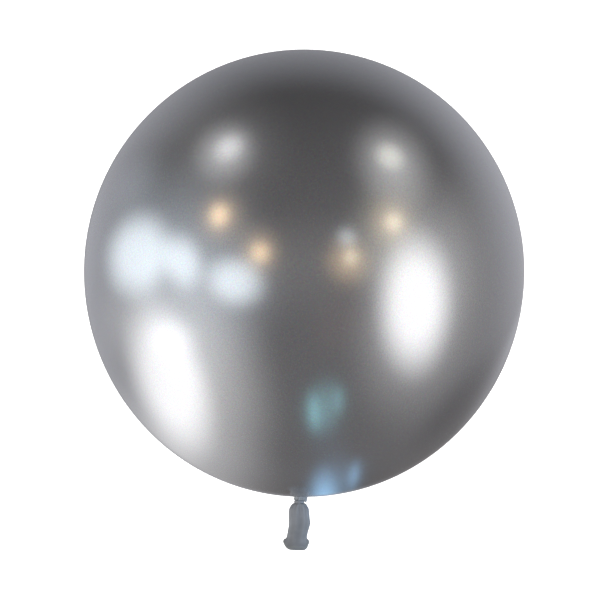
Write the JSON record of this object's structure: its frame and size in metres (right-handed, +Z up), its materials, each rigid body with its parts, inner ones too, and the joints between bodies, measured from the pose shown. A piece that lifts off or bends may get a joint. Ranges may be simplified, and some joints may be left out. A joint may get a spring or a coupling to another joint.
{
  "type": "party balloon",
  "caption": "Large round satin-chrome latex party balloon, tied at its neck, with a slack gathered tail and a rolled lip round its open mouth.",
  "frame": {"origin": "middle of the tie round the gathered neck, on the axis of the balloon", "axes": "+Z up the balloon's axis through its crown, +X to the right of the front view, -Y towards the viewer"},
  "size_m": [0.61, 0.61, 0.6956],
  "materials": {
    "chrome_latex": "satin",
    "band_rubber": "satin",
    "slack_latex": "satin",
    "lip_latex": "satin"
  },
  "bodies": {
    "balloon": {"envelope": "chrome_latex", "neck_tie": "band_rubber"},
    "tail": {"tail_sleeve": "slack_latex", "rolled_lip": "lip_latex"}
  },
  "joints": [
    {"name": "tail_swing", "type": "hinge", "parent": "balloon", "child": "tail", "pos_m": [0, 0, -0.01], "axis": [1, 0, 0], "range_deg": [-80, 80], "stiffness_Nm_per_rad": 0.002}
  ]
}
